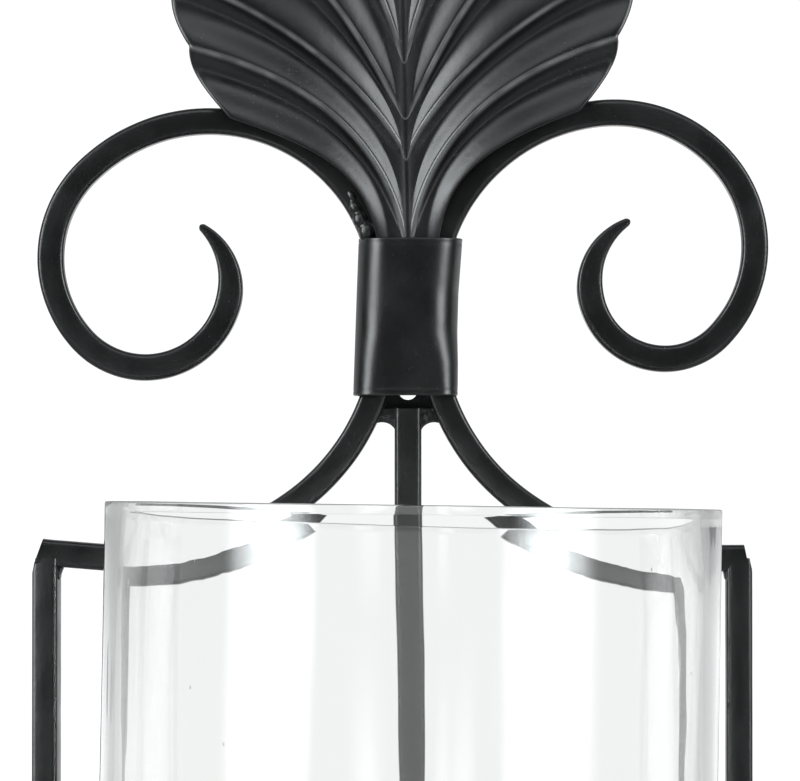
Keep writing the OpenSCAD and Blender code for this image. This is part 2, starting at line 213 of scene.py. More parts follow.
# %% The glass finishes
def glass(name, tint, ior, ripple):
    material, tree, shader, place = new_material(name)
    drawn = tree.node("ShaderNodeMapping", sockets={"Vector": place, "Scale": (1.0, 1.0, 0.16)})
    wave = tree.node("ShaderNodeTexNoise", sockets={"Vector": drawn, "Scale": 75.0, "Detail": 2.0})
    streak = tree.node("ShaderNodeTexNoise", sockets={"Vector": drawn, "Scale": 260.0, "Detail": 1.0})
    height = wave * ripple + streak * (ripple * 0.16)
    material.node_tree.links.new(tree.bump(height).socket, shader.inputs["Normal"])
    shader.inputs["Base Color"].default_value = [*tint, 1.0]
    shader.inputs["Roughness"].default_value = 0.0
    shader.inputs["IOR"].default_value = ior
    shader.inputs["Transmission Weight"].default_value = 1.0
    return material


clear_glass = glass("clear_glass", (0.97, 0.98, 0.975), 1.5, 0.06)
seed_air = glass("seed_air", (1.0, 1.0, 1.0), 0.667, 0.0)
print("glass finishes:", clear_glass.name, seed_air.name)

# %% [markdown]
# ## From numbers to a mesh
# Every finished piece is an object at the origin whose place is in its mesh,
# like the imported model's own nodes. One helper turns corners in millimetres and
# faces into such an object, paints it, and lets it ride on its body. A Geometry
# Nodes group is run as a modifier, whose inputs go by the sockets' identifiers,
# and the modifier is then worked into the mesh.

# %% Making and placing a piece
def linked(name, data):
    thing = bpy.data.objects.new(name, data)
    bpy.context.scene.collection.objects.link(thing)
    return thing


def piece(name, corners_mm, faces, paint, smooth=True, rubbed_and_glint=None):
    mesh = bpy.data.meshes.new(name)
    mesh.from_pydata((np.asarray(corners_mm, float) * MM).tolist(), [], faces)
    mesh.materials.append(paint)
    if smooth:
        mesh.shade_smooth()
    if rubbed_and_glint is not None:
        layer = mesh.attributes.new("rubbed_and_glint", "FLOAT", "POINT")
        layer.data.foreach_set("value", np.asarray(rubbed_and_glint, np.float32))
    mesh.validate()
    return linked(name, mesh)


def applied(thing):
    """The object with its modifiers worked into its mesh."""
    graph = bpy.context.evaluated_depsgraph_get()
    mesh = bpy.data.meshes.new_from_object(thing.evaluated_get(graph))
    thing.modifiers.clear()
    old = thing.data
    thing.data = mesh
    bpy.data.meshes.remove(old)
    thing.data.name = thing.name
    return thing


def ran(thing, group, values):
    """The object with a Geometry Nodes group run on it and worked into its mesh."""
    modifier = thing.modifiers.new(group.name, "NODES")
    modifier.node_group = group
    ids = {s.name: s.identifier for s in group.interface.items_tree if s.in_out == "INPUT"}
    for label, value in values.items():
        modifier[ids[label]] = value
    return applied(thing)


def outward(thing, weld=1e-7):
    """The object with doubled corners joined and every face turned outwards."""
    build = bmesh.new()
    build.from_mesh(thing.data)
    bmesh.ops.remove_doubles(build, verts=build.verts, dist=weld)
    bmesh.ops.recalc_face_normals(build, faces=build.faces)
    build.to_mesh(thing.data)
    build.free()
    thing.data.shade_smooth()
    return thing


def placed(thing, body, slot_name, *nodes):
    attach(thing, body)
    if nodes:
        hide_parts(*nodes)
    triangles = sum(len(p.vertices) - 2 for p in thing.data.polygons)
    print(f"{thing.name}: {triangles} triangles on {body}")
    return thing


# %% [markdown]
# ## The line of a bar
# A smith bends a scroll in stretches of steady curve, each meeting the next
# without a kink. So a bar's middle line is a list of bends, each a radius and a
# turn, walked from one end to the other. These are the drawing's own bends, and
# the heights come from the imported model, so the finished bars lie in the drawn
# ones. Along with each point goes `drawn`, how wide the bar still is there, since
# the last bend of a scroll is hammered down to a rounded tip.

# %% Sizes of the bar, read off the frame
post_low, post_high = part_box("side_post_right")
bar = (post_high.x - post_low.x) / MM
bar_middle_y = (post_low.y + post_high.y) / 2 / MM
post_x = {side: abs(sum(corner.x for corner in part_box(node))) / 2 / MM
          for side, node in ((-1, "side_post_left"), (1, "side_post_right"))}
collar_low, collar_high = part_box("upper_collar")
lower_collar_low, lower_collar_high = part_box("lower_collar")
waist_z = (collar_low.z + collar_high.z) / 2 / MM
lower_waist_z = (lower_collar_low.z + lower_collar_high.z) / 2 / MM
tip_w = 2.0
end_slant, end_inset = 1.2, 0.7
left_rise = 4.6
post_twist = {-1: math.radians(8), 1: 0.0}
waist_x, waist_r = 4.6, 53
shoulder_r, shoulder_heading, rise_r = (48, 65), 54, 40
slant_reach = 3.0
print(f"bar {bar:.1f} mm square, posts at x {-post_x[-1]:.1f} and {post_x[1]:.1f},",
      f"waists at {waist_z:.1f} and {lower_waist_z:.1f}")

# %% Walking along bends
def walk(start, bends, pitch=0.8):
    """Points [x, z, heading] along the bends, about `pitch` mm apart."""
    points = [list(start)]
    for radius, turn in bends:
        x, z, heading = points[-1]
        steps = max(2, math.ceil(math.radians(turn) * radius / pitch))
        for k in range(1, steps + 1):
            after = heading + turn * k / steps
            a, b = math.radians(heading), math.radians(after)
            points.append([x + radius * (math.cos(a) - math.cos(b)),
                           z + radius * (math.sin(b) - math.sin(a)), after])
    return points


def waist_turn(height):
    return math.degrees(math.asin(height / 2 / waist_r)) + 1


def bar_line(height, post, bends, rise=0.0):
    """Rows [x, z, drawn, slant] of a bar drawn on the right, waist at z = 0, scroll up."""
    turn = waist_turn(height)
    out = [(waist_r, turn), (shoulder_r[0], shoulder_heading - turn),
           (shoulder_r[1], 90 - shoulder_heading)]
    shoulder = walk((waist_x, 0, 0), out + ([(rise_r, rise)] if rise else []))
    flat = shoulder[-1]
    end_x = post + bar / 2 - end_inset - end_slant / 2
    run = np.linspace(end_x, flat[0], 16)[:-1]
    slope = math.tan(math.radians(rise))
    rows = [[x, (x - flat[0]) * slope - flat[1], 1.0,
             (end_slant / bar + slope) * max(0.0, 1 - (end_x - x) / slant_reach)] for x in run]
    rows += [[x, -z, 1.0, 0.0] for x, z, _ in reversed(shoulder)]
    full = walk((waist_x, 0, 0), [(waist_r, turn)] + bends[:-1])
    rows += [[x, z, 1.0, 0.0] for x, z, _ in full[1:]]
    drawn = walk(full[-1], bends[-1:], 0.5)
    share = np.linspace(0, 1, len(drawn))
    width = 1 + (tip_w / bar - 1) * share ** 1.6
    rows += [[x, z, w, 0.0] for (x, z, _), w in zip(drawn[1:], width[1:])]
    x, z, heading = drawn[-1]
    a = math.radians(heading)
    for t in (0.35, 0.65, 0.85, 0.96, 1.0):
        reach = t * tip_w / 2
        narrow = tip_w / bar * math.sqrt(max(1 - t * t, 0.003))
        rows.append([x + reach * math.sin(a), z + reach * math.cos(a), narrow, 0.0])
    return np.array(rows)


scrolls = {-1: [(38, 60.7), (38.5, 54.4), (26.6, 87.4), (18.8, 122.3), (16.1, 66)],
           1: [(41, 65), (31.5, 58), (28.2, 81.5), (16.5, 124.4), (15.6, 71.7)]}
small_scroll = [(24, 75), (16, 85), (10, 80), (10, 70)]
collar_height = (collar_high.z - collar_low.z) / MM
lower_collar_height = (lower_collar_high.z - lower_collar_low.z) / MM
upper_line = {side: bar_line(collar_height, post_x[side], scrolls[side], rise)
              for side, rise in ((-1, left_rise), (1, 0.0))}
lower_line = {side: bar_line(lower_collar_height, post_x[side], small_scroll) for side in (-1, 1)}
print("points along the upper bars:", len(upper_line[-1]), len(upper_line[1]))

# %% [markdown]
# ## Sweeping the bar along its line with Geometry Nodes
# A bar follows a path, which is just what Curve to Mesh does. The profile starts
# as a circle of points; each is pushed out and clamped to a square, then moved
# by the edge radius along its own direction, which leaves flat sides and rounded
# corners with more points where the corner turns. After the sweep three things
# are done to each point by its distance from the middle line, which is stored on
# the curve first: the tip is narrowed across the bend only, the end is slanted,
# and hammer marks are pressed in, always inwards, so the bar never outgrows its
# stock. The corner points are marked as rubbed, for the paint.

# %% The tree that makes a bar
def bar_tree():
    group = bpy.data.node_groups.new("forged_bar", "GeometryNodeTree")
    face = group.interface
    face.new_socket("Line", in_out="INPUT", socket_type="NodeSocketGeometry")
    for name, value in (("Half side", 3.0 * MM), ("Edge radius", 1.25 * MM),
                        ("Hammer depth", 0.10 * MM), ("Hammer scale", 130.0)):
        face.new_socket(name, in_out="INPUT", socket_type="NodeSocketFloat").default_value = value
    side = face.new_socket("Flat side", in_out="INPUT", socket_type="NodeSocketVector")
    side.default_value = (0.0, 1.0, 0.0)
    face.new_socket("Finish", in_out="INPUT", socket_type="NodeSocketMaterial")
    face.new_socket("Bar", in_out="OUTPUT", socket_type="NodeSocketGeometry")
    tree = Tree(group)
    given = group.nodes.new("NodeGroupInput")
    inputs = {s.name: Value(tree, s) for s in given.outputs if s.name}

    def vector_math(operation, *values):
        return tree.node("ShaderNodeVectorMath", {"operation": operation}, dict(enumerate(values)))

    def named(name, kind="FLOAT"):
        return tree.node("GeometryNodeInputNamedAttribute", {"data_type": kind}, {"Name": name})

    ring = tree.node("GeometryNodeCurvePrimitiveCircle", sockets={"Resolution": 56, "Radius": 1.0})
    spot = tree.node("GeometryNodeInputPosition")
    cx, cy, _ = tree.parts(spot)
    inner = inputs["Half side"] - inputs["Edge radius"]

    def squared(share):
        pushed = (share * inner * 2.3).math("MINIMUM", inner).math("MAXIMUM", inner * -1)
        return pushed + share * inputs["Edge radius"]

    profile_spot = tree.node("ShaderNodeCombineXYZ", sockets={0: squared(cx), 1: squared(cy)})
    profile = tree.node("GeometryNodeSetPosition", sockets={"Geometry": ring, "Position": profile_spot})

    line = tree.node("GeometryNodeMeshToCurve", sockets={"Mesh": inputs["Line"]})
    line = tree.node("GeometryNodeSetCurveNormal", {"mode": "FREE"}, {
        "Curve": line, "Normal": inputs["Flat side"]})
    line = tree.node("GeometryNodeStoreNamedAttribute", {"data_type": "FLOAT_VECTOR"}, {
        "Geometry": line, "Name": "middle", "Value": spot})
    swept = tree.node("GeometryNodeCurveToMesh", sockets={
        "Curve": line, "Profile Curve": profile, "Fill Caps": True})

    middle = named("middle", "FLOAT_VECTOR")
    away = vector_math("SUBTRACT", spot, middle)
    corner = vector_math("LENGTH", away)
    corner_value = Value(tree, corner.socket.node.outputs["Value"])
    rubbed_and_glint = tree.node("ShaderNodeMapRange", sockets={
        "Value": corner_value.math("DIVIDE", inputs["Half side"]),
        "From Min": 1.10, "From Max": 1.22})
    swept = tree.node("GeometryNodeStoreNamedAttribute", {"data_type": "FLOAT"}, {
        "Geometry": swept, "Name": "rubbed_and_glint", "Value": rubbed_and_glint})

    drawn = named("drawn")
    ax, ay, az = tree.parts(away)
    narrowed = tree.node("ShaderNodeCombineXYZ", sockets={
        0: ax * drawn - az * named("slant"), 1: ay, 2: az * drawn})
    shaped = tree.node("GeometryNodeSetPosition", sockets={
        "Geometry": swept, "Position": vector_math("ADD", middle, narrowed)})

    marks = tree.node("ShaderNodeTexNoise", sockets={
        "Vector": spot, "Scale": inputs["Hammer scale"], "Detail": 2.0})
    normal = tree.node("GeometryNodeInputNormal")
    pressed = marks * inputs["Hammer depth"] * -1
    hammered = tree.node("GeometryNodeSetPosition", sockets={
        "Geometry": shaped, "Offset": tree.node("ShaderNodeVectorMath", {"operation": "SCALE"}, {
            0: normal, "Scale": pressed})})
    smooth = tree.node("GeometryNodeSetShadeSmooth", sockets={
        "Geometry": hammered, "Shade Smooth": True})
    real = tree.node("GeometryNodeRealizeInstances", sockets={"Geometry": smooth})
    done = tree.node("GeometryNodeSetMaterial", sockets={"Geometry": real, "Material": inputs["Finish"]})
    out = group.nodes.new("NodeGroupOutput")
    group.links.new(done.socket, out.inputs[0])
    return group


forged_bar = bar_tree()
print("inputs of the bar tree:", [s.name for s in forged_bar.interface.items_tree])

# %% [markdown]
# ## Running the tree on a line
# The line is a mesh of points and edges that carries `drawn` and `slant`. The
# tree is run on it, and the result is a plain mesh whose faces look outwards.

# %% A bar from its line
def forged(name, points_mm, drawn, slant, settings=None):
    mesh = bpy.data.meshes.new(name + "_line")
    count = len(points_mm)
    mesh.from_pydata((np.asarray(points_mm) * MM).tolist(), [(k, k + 1) for k in range(count - 1)], [])
    for label, values in (("drawn", drawn), ("slant", slant)):
        mesh.attributes.new(label, "FLOAT", "POINT").data.foreach_set(
            "value", np.asarray(values, np.float32))
    values = {"Half side": bar / 2 * MM, "Finish": iron_paint, **(settings or {})}
    return outward(ran(linked(name, mesh), forged_bar, values), 1e-6)


def wall_line(line, z, flip_x=1, flip_z=1):
    middle_y = np.full(len(line), bar_middle_y)
    return np.column_stack([line[:, 0] * flip_x, middle_y, z + line[:, 1] * flip_z])


for hand, side in (("left", -1), ("right", 1)):
    line = upper_line[side]
    scroll = forged(f"forged_scroll_{hand}", wall_line(line, waist_z, side),
                    line[:, 2], line[:, 3] * side)
    placed(scroll, "frame", "black_iron", f"scroll_bar_{hand}")
    line = lower_line[side]
    foot = forged(f"forged_lower_bar_{hand}", wall_line(line, lower_waist_z, side, -1),
                  line[:, 2], line[:, 3] * -side)
    placed(foot, "frame", "black_iron", f"lower_bar_{hand}")

# %% [markdown]
# ## Straight bars
# The posts and the centre bar are cut lengths of the same stock. They go through
# the same tree, so they get the same edges, with fainter marks. The left post is
# twisted a little on its own axis, and both posts' outer corners are hammered back.

# %% Posts and centre bar
def upright(name, node, twist=0.0, outer=0):
    low, high = (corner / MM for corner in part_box(node))
    heights = np.linspace(low.z, high.z, int((high.z - low.z) / 0.8))
    points = np.column_stack([np.full(len(heights), (low.x + high.x) / 2),
                              np.full(len(heights), bar_middle_y), heights])
    thing = forged(name, points, np.ones(len(heights)), np.zeros(len(heights)),
                   {"Flat side": (math.sin(twist), math.cos(twist), 0.0), "Hammer depth": 0.04 * MM})
    if outer:
        face = abs(low.x + high.x) / 2 + bar / 2
        for corner in thing.data.vertices:
            from_end = min(high.z - corner.co.z / MM, corner.co.z / MM - low.z)
            limit = face - end_inset * max(0.0, 1 - max(0.0, from_end - 0.4) / 2.7)
            corner.co.x = outer * min(outer * corner.co.x, limit * MM)
    return placed(thing, "frame", "black_iron", node)


upright("forged_post_left", "side_post_left", post_twist[-1], -1)
upright("forged_post_right", "side_post_right", post_twist[1], 1)
upright("forged_centre_bar", "centre_bar")

# %% [markdown]
# ## The leaf
# The leaf is pressed from sheet over a die, with flutes that spread from its
# root to the lobes of its edge. Sculpting it by hand would lose the rule behind
# it: each half lies between seven curves, and each flute is a hollow between two
# of them, deepest close under its upper curve. A low crease runs up the middle.
# So it is computed like that, on a grid fine enough for the ridges, and the ridges are creased so that
# the subdivision rounds the hollows but keeps them crisp. The die's seams leave a hair of metal standing
# along each ridge, which catches the light as a fine line. That line is also painted in: the ridge points
# take the paint's pale rubbed colour, a painted highlight. Solidify gives the sheet its thickness.

# %% Points of the leaf
leaf_lines = np.array([
    [[0.127, -0.073], [0.133, 0.110], [0.300, 0.170], [0.780, 0.245]],
    [[0, -0.073], [0.010, 0.136], [0.283, 0.309], [0.949, 0.388]],
    [[0, 0.155], [0.040, 0.218], [0.343, 0.418], [1.0, 0.527]],
    [[0, 0.234], [0.121, 0.336], [0.343, 0.582], [0.889, 0.682]],
    [[0, 0.345], [0.061, 0.455], [0.242, 0.709], [0.667, 0.827]],
    [[0, 0.473], [0.030, 0.600], [0.141, 0.818], [0.364, 0.936]],
    [[0, 0.582], [0, 0.709], [0, 0.873], [0, 1.0]]])
leaf_half, leaf_height, leaf_bow, lobe = 49.5, 110.0, 14.0, 2.5
flute_depth, flute_skew, crease, crease_reach = 2.6, 1.7, 0.8, 2.5
crest, crest_run = 0.22, 12
sheet = 1.0
leaf_root_z = collar_high.z / MM
leaf_back_y = bar_middle_y - bar / 2
leaf_turn = math.radians(1.3)
flutes = len(leaf_lines) - 1


def leaf_point(w, t):
    """A point of the leaf's back in mm, at line w and share t along it."""
    k = min(int(w), flutes - 1)
    f = w - k
    hollow = 4 * f * (1 - f)
    p = (leaf_lines[k] * (1 - f) + leaf_lines[k + 1] * f) * [leaf_half, leaf_height]
    out = p[3] - p[2]
    p[3] = p[3] + lobe * hollow * out / np.linalg.norm(out)
    x, z = ((1 - t) ** 3 * p[0] + 3 * (1 - t) ** 2 * t * p[1]
            + 3 * (1 - t) * t * t * p[2] + t ** 3 * p[3])
    deep = f ** flute_skew
    ridge = flute_depth * (1 - (1 - t) ** 2) * (1 - 4 * deep * (1 - deep))
    fold = crease * math.exp(-x / crease_reach)
    lean = leaf_bow * (max(z, 0) / leaf_height) ** 2
    return x, leaf_back_y - sheet - max(ridge, fold) - lean, leaf_root_z + z


def leaned(x, y, rise):
    """The point turned about the leaf's root by the leaf's own lean."""
    return [x * math.cos(leaf_turn) - rise * math.sin(leaf_turn), y,
            leaf_root_z + rise * math.cos(leaf_turn) + x * math.sin(leaf_turn)]


print("root of the leaf:", leaf_point(0, 0), "tip:", leaf_point(flutes, 1))

# %% The leaf's mesh
def leaf():
    along = 44
    spots = [0.0, 0.018, 0.05] + list(np.linspace(0.12, 0.88, 9)) + [0.95, 0.982]
    across = len(spots)
    rows = flutes * across
    corners, index, ridge_glint = [], {}, []
    for side in (1, -1):
        for i in range(rows + 1):
            w = i // across + spots[i % across]
            on_line = i % across == 0
            for j in range(along + 1):
                on_middle = i == rows or (j == 0 and i >= across)
                if side == -1 and on_middle:
                    index[side, i, j] = index[1, i, j]
                    continue
                x, y, z = leaf_point(w, j / along)
                if on_line and 0 < i < rows:
                    y -= crest * min(1.0, j / crest_run)
                index[side, i, j] = len(corners)
                corners.append(leaned(side * x, y, z - leaf_root_z))
                # Ridge points take the sheet paint's pale rubbed colour: a painted highlight along each
                # ridge.
                ridge_glint.append(1.0 if on_line and 0 < i else 0.0)
    faces = []
    for side in (1, -1):
        for i in range(rows):
            for j in range(along):
                a, b = index[side, i, j], index[side, i + 1, j]
                c, d = index[side, i + 1, j + 1], index[side, i, j + 1]
                ring = [a, b, d] if len({a, b, c, d}) < 4 else [a, b, c, d]
                if len(set(ring)) >= 3:
                    faces.append(ring if side == 1 else ring[::-1])
    thing = piece("pressed_leaf", corners, faces, sheet_paint, rubbed_and_glint=ridge_glint)
    edge_key = {tuple(sorted(e.vertices)): e.index for e in thing.data.edges}
    creases = np.zeros(len(thing.data.edges), np.float32)
    for side in (1, -1):
        for i in range(across, rows + 1, across):
            for j in range(along):
                key = tuple(sorted((index[side, i, j], index[side, i, j + 1])))
                if key in edge_key:
                    creases[edge_key[key]] = 0.35
    thing.data.attributes.new("crease_edge", "FLOAT", "EDGE").data.foreach_set("value", creases)
    solid = thing.modifiers.new("thickness", "SOLIDIFY")
    solid.thickness = sheet * MM
    solid.offset = -1.0
    smooth = thing.modifiers.new("rounding", "SUBSURF")
    smooth.levels = smooth.render_levels = 1
    return applied(thing)


placed(leaf(), "frame", "black_sheet", "leaf")

# %% [markdown]
# ## Collars
# A collar is a strip folded hot round the bars. As it cools it grips, so it is pulled in slightly at mid
# height, and its front corners are soft. A hair of a groove runs just inside each edge and shows as a
# fine line. The rims are also painted a shade paler, partly wear and partly painted highlight. The
# strip's section is walked round the bars and lofted up the height; Solidify makes it a sheet.

# %% A folded strip
def collar(name, node, shape):
    """A strip round the bars. `shape` gives, from the bottom level -1 to the top
    level 1, the lean, the pinch of each side and the radius of each front corner."""
    low, high = (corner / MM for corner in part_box(node))
    depth, back = -low.y - sheet / 2, high.y - sheet / 2
    mid_z, height = (low.z + high.z) / 2, high.z - low.z
    levels = np.concatenate([[-1.0, -0.985, -0.965, -0.945, -0.92], np.linspace(-0.88, 0.88, 31),
                             [0.92, 0.945, 0.965, 0.985, 1.0]])

    def half_section(side, level):
        at = {key: float(np.interp(level, shape["levels"], values[side]))
              for key, values in shape.items() if key in ("pinch", "radius")}
        half, radius = (high.x - low.x) / 2 - sheet / 2 - at["pinch"], at["radius"]
        points = [(6.3, back)]
        points += [(half - 0.8 + 0.8 * math.cos(a), back - 0.8 + 0.8 * math.sin(a))
                   for a in np.radians([90, 60, 30, 0])]
        points += [(half - radius + radius * math.cos(a), -depth + radius - radius * math.sin(a))
                   for a in np.radians(np.linspace(0, 90, 15))]
        crown = np.linspace(half - radius, 0, 6)[1:]
        points += [(x, -depth - 0.12 * (1 - (x / (half - radius)) ** 2)) for x in crown]
        return [(side * x, y) for x, y in points]

    corners, rubbed_and_glint = [], []
    for level in levels:
        groove = 0.06 if 0.93 < abs(level) < 0.955 else 0.0
        outline = half_section(-1, level) + half_section(1, level)[-2::-1]
        for n, (x, y) in enumerate(outline):
            dent = 0.10 * noise.noise(Vector((x * 0.13, y * 0.13, level * 2.2 + depth)))
            front = max(0.0, min(1.0, (-depth + 2.0 - y) / 2.0))
            corners.append([x * (1 - groove / 11) + shape["lean"] * level,
                            y + front * (0.16 + dent + groove), mid_z + level * height / 2])
            # The rims take a tenth of the sheet paint's pale rubbed colour: partly wear, partly a painted
            # highlight along the edges.
            rubbed_and_glint.append(0.1 if abs(level) > 0.97 else 0.0)
    n = len(outline)
    faces = [[r * n + k, r * n + k + 1, (r + 1) * n + k + 1, (r + 1) * n + k]
             for r in range(len(levels) - 1) for k in range(n - 1)]
    thing = piece(name, corners, faces, sheet_paint, rubbed_and_glint=rubbed_and_glint)
    solid = thing.modifiers.new("thickness", "SOLIDIFY")
    solid.thickness = sheet * MM
    solid.offset = 0.0
    bevel = thing.modifiers.new("edges", "BEVEL")
    bevel.width = 0.32 * MM
    bevel.segments = 3
    bevel.limit_method = "ANGLE"
    bevel.angle_limit = math.radians(50)
    return applied(thing)


upper_shape = {"lean": 0.58, "levels": [-1.0, -0.6, -0.2, 0.3, 1.0],
               "pinch": {-1: [0.35, 0.35, 0.35, 0.35, 0.4], 1: [0.35, 0.5, 0.85, 0.9, 0.4]},
               "radius": {-1: [4.8, 5.2, 6.3, 6.6, 6.6], 1: [3.6, 4.2, 6.4, 6.7, 6.1]}}
lower_shape = {"lean": 0.0, "levels": [-1.0, 0.0, 1.0],
               "pinch": {-1: [0.1, 0.4, 0.1], 1: [0.1, 0.35, 0.1]},
               "radius": {-1: [2.6, 3.2, 3.0], 1: [3.0, 3.2, 2.6]}}
for name, node, shape in (("folded_collar", "upper_collar", upper_shape),
                          ("folded_lower_collar", "lower_collar", lower_shape)):
    placed(collar(name, node, shape), "frame", "black_sheet", node)

# %% [markdown]
# ## Weld beads
# A weld is a row of small puddles, each frozen on the edge of the last. Laying
# overlapping balls along the seam and wrapping them in one skin with a voxel
# remesh gives that shape with its ripples, where a swept tube would look drawn.
# Where a puddle filled a notch it ran smooth instead, so a flat shape is given
# the same skin there, and its edges are melted round by smoothing.

# %% A skin over loose shapes
def skinned(name, build, voxel, melt):
    """The shapes in `build` wrapped in one skin of iron, melted round by smoothing."""
    mesh = bpy.data.meshes.new(name)
    build.to_mesh(mesh)
    build.free()
    thing = linked(name, mesh)
    skin = thing.modifiers.new("skin", "REMESH")
    skin.mode = "VOXEL"
    skin.voxel_size = voxel * MM
    skin.use_smooth_shade = True
    soft = thing.modifiers.new("soften", "SMOOTH")
    soft.iterations = melt
    applied(thing)
    thing.data.materials.clear()
    thing.data.materials.append(iron_paint)
    return thing


print("weld skins ready")

# %% A bead from a row of balls
def bead(name, runs, node, voxel=0.22, melt=3):
    build = bmesh.new()
    for balls in runs:
        for (x, y, z), radius in balls:
            place = Matrix.Translation(Vector((x, y, z)) * MM)
            bmesh.ops.create_icosphere(build, subdivisions=2, radius=radius * MM, matrix=place)
    return placed(skinned(name, build, voxel, melt), "frame", "black_iron", node)


def row(start, end, radius, pitch=0.75, wobble=0.12, seed=0):
    start, end = np.array(start, float), np.array(end, float)
    count = max(2, int(np.linalg.norm(end - start) / pitch) + 1)
    rng = np.random.default_rng(seed)
    return [(start + (end - start) * k / (count - 1) + rng.normal(0, wobble, 3),
             radius * (1 + 0.12 * rng.normal())) for k in range(count)]


centre_low, centre_high = (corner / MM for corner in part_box("centre_bar"))
front_y, back_y = bar_middle_y - bar / 2, bar_middle_y + bar / 2


def fillet(name, shapes, node, inset, voxel=0.2, melt=6, lump=0.22):
    """Weld metal that fills flat shapes [x, z] between the bars, its edges melted round."""
    build = bmesh.new()
    for shape in shapes:
        rings = [[build.verts.new(Vector((x, y, z)) * MM) for x, z in shape]
                 for y in (front_y + inset, back_y - inset)]
        build.faces.new(rings[0])
        build.faces.new(rings[1][::-1])
        for k in range(len(shape)):
            after = (k + 1) % len(shape)
            build.faces.new([rings[0][after], rings[0][k], rings[1][k], rings[1][after]])
    bmesh.ops.recalc_face_normals(build, faces=build.faces)
    thing = skinned(name, build, voxel, melt)
    for corner in thing.data.vertices:
        x, y, z = corner.co / MM
        corner.co.y += lump * noise.noise(Vector((x * 0.8, y * 0.8, z * 0.8))) * MM
    return placed(thing, "frame", "black_iron", node)


def web(end, way, side, line, waist, arch):
    """The notch beside the centre bar's end, filled down to an arch that is `arch` high."""
    below = line[line[:, 1] < 0]
    heights, across = waist + below[:, 1] * way, below[:, 0]
    order = np.argsort(heights)

    def inner_face(z):
        return float(np.interp(z, heights[order], across[order])) - bar / 2

    top, near = end + way * 0.2, bar / 2 - 0.8
    crown = end - way * 3.0
    low = crown - way * arch
    middle, half = (bar / 2 + inner_face(low)) / 2, (inner_face(low) - bar / 2) / 2 + 0.35
    shape = [(side * near, top), (side * near, low)]
    shape += [(side * (middle - half * math.cos(a)), crown - way * (arch - arch * math.sin(a)))
              for a in np.radians(np.linspace(0, 180, 17))]
    shape += [(side * (inner_face(low) + 0.8), low), (side * (inner_face(top) + 0.8), top)]
    return shape


fillet("upper_weld_webs", [web(centre_high.z, 1, side, upper_line[side], waist_z, arch)
                           for side, arch in ((-1, 2.7), (1, 2.9))], "upper_welds", 1.3)
fillet("lower_weld_webs", [web(centre_low.z, -1, side, lower_line[side], lower_waist_z, 2.6)
                           for side in (-1, 1)], "lower_welds", 1.3)

# %% [markdown]
# The corners get a hollow fillet inside, taller than it is wide. One tack holds
# the leaf's edge to the left scroll, and two beads hold the arm's leg.

# %% Corner welds, the tack and the arm's beads
fillet_w, fillet_h, fillet_sunk = 2.2, 4.7, 0.8
corners_drawn = []
for side in (-1, 1):
    for z, way in ((post_high.z / MM, -1), (post_low.z / MM, 1)):
        inside = post_x[side] - bar / 2
        hollow = [(side * (inside - 0.2 - 2.0 * (1 - t) ** 1.8), z + way * fillet_h * t)
                  for t in np.linspace(1, 0, 10)]
        sunk_x, sunk_z = side * (inside + fillet_sunk), z - way * fillet_sunk
        corners_drawn.append(hollow + [(side * (inside - fillet_w), sunk_z), (sunk_x, sunk_z),
                                       (sunk_x, z + way * fillet_h)])
fillet("corner_fillets", corners_drawn, "corner_welds", 1.1)

tack_low, tack_high = (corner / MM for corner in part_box("leaf_tack"))
at = np.array([(tack_low.x + tack_high.x) / 2, front_y - 0.1, (tack_low.z + tack_high.z) / 2])
tack = [(at + (-2.9 + 4.2 * t + 0.3 * math.sin(17 * t), 0.9 - 0.5 * t, 4.6 - 9.4 * t),
         0.9 + 1.1 * t + 0.22 * math.sin(23 * t)) for t in np.linspace(0, 1, 26)]
bead("leaf_tack_bead", [tack], "leaf_tack", 0.22, melt=8)

seam_low, seam_high = (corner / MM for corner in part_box("arm_welds"))
runs = [row((side * bar / 2, front_y, seam_low.z + 0.8), (side * bar / 2, front_y, seam_high.z - 0.8),
            0.95, pitch=0.9, seed=51 + side) for side in (-1, 1)]
bead("arm_weld_beads", runs, "arm_welds")

# %% [markdown]
# ## Turned pieces
# The pan is spun from sheet, and the spike is turned. Both are round, so each is
# a profile carried round an axis. The profile is closed. The spike's sharp corners
# get small arcs, and the pan's own points already round its rim and its bend.

# %% A profile carried round the pan's axis
pan_low, pan_high = (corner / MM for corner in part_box("drip_pan"))
pan_y = (pan_low.y + pan_high.y) / 2
pan_r = (pan_high.x - pan_low.x) / 2


def softened(profile, radius=0.25, steps=3):
    """The closed profile [r, z] with each corner replaced by a small arc."""
    points = []
    count = len(profile)
    for k in range(count):
        before, here, after = (np.array(profile[(k + d) % count], float) for d in (-1, 0, 1))
        a, b = before - here, after - here
        reach = min(radius, np.linalg.norm(a) / 2.2, np.linalg.norm(b) / 2.2)
        start, end = here + a / np.linalg.norm(a) * reach, here + b / np.linalg.norm(b) * reach
        for t in np.linspace(0, 1, steps + 1):
            points.append((1 - t) ** 2 * start + 2 * t * (1 - t) * here + t * t * end)
    return points


def spun_faces(count, segments):
    """The faces between `segments` closed rings of `count` points each."""
    faces = []
    for s in range(segments):
        here, following = s * count, (s + 1) % segments * count
        for k in range(count):
            after = (k + 1) % count
            faces.append([here + k, here + after, following + after, following + k])
    return faces


def turned(profile, segments):
    """Corners and faces of a closed profile [r, z] spun about the pan's axis."""
    corners = []
    for s in range(segments):
        a = 2 * math.pi * s / segments
        corners += [[r * math.cos(a), pan_y + r * math.sin(a), z] for r, z in profile]
    return corners, spun_faces(len(profile), segments)


